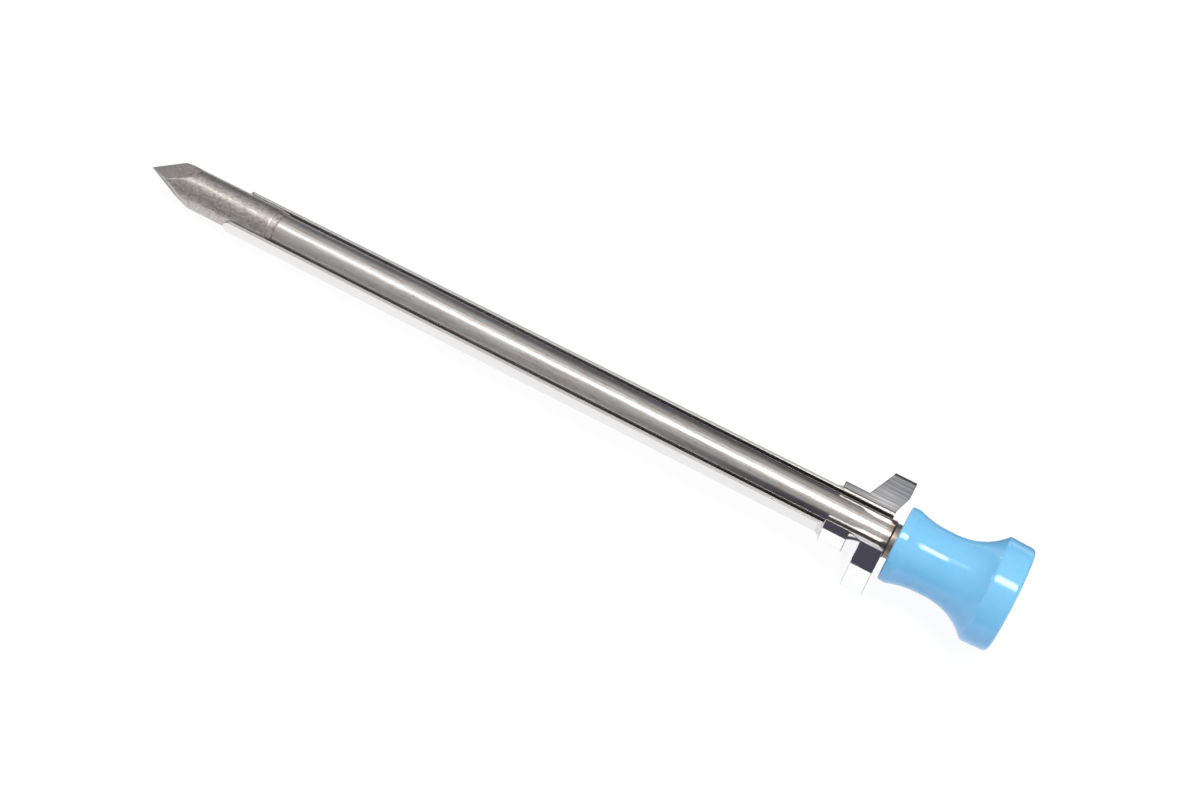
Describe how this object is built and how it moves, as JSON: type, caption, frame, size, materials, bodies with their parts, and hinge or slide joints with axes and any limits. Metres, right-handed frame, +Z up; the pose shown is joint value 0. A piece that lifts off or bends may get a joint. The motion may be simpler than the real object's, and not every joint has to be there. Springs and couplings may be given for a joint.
{
  "type": "trocar with half-open sheath",
  "caption": "Pointed steel obturator with a waisted plastic knob, sliding in a slotted steel sheath with a flanged, slotted hub.",
  "frame": {"origin": "under the middle of the instrument, on the plane that its flange touches: half the length along X, on the axis in Y, and at the lowest point of the hub flange in Z", "axes": "+X along the instrument's axis from the point towards the knob, +Z up through the middle of the slot, +Y completes a right-handed frame"},
  "size_m": [0.1566, 0.019, 0.0181],
  "materials": {
    "sheath_steel": "bright polished stainless tube",
    "hub_steel": "mirror-polished turned surfaces, milled slot faces",
    "braze": "silver braze with brown heat tint",
    "point_steel": "satin stainless steel, ground facets",
    "shaft_steel": "satin stainless tube, drawn lengthwise",
    "tang_steel": "turned stainless steel",
    "blue_plastic": "glossy light blue moulded plastic"
  },
  "bodies": {
    "sheath": {"sheath_tube": "sheath_steel", "hub_collar": "hub_steel", "hub_braze": "braze"},
    "obturator": {"trocar_point": "point_steel", "point_braze": "braze", "shaft_tube": "shaft_steel", "tang_braze": "braze", "handle_tang": "tang_steel", "handle_knob": "blue_plastic"}
  },
  "joints": [
    {"name": "obturator_slide", "type": "slide", "parent": "sheath", "child": "obturator", "axis": [1, 0, 0], "range_m": [-0.00125, 0.14]}
  ]
}
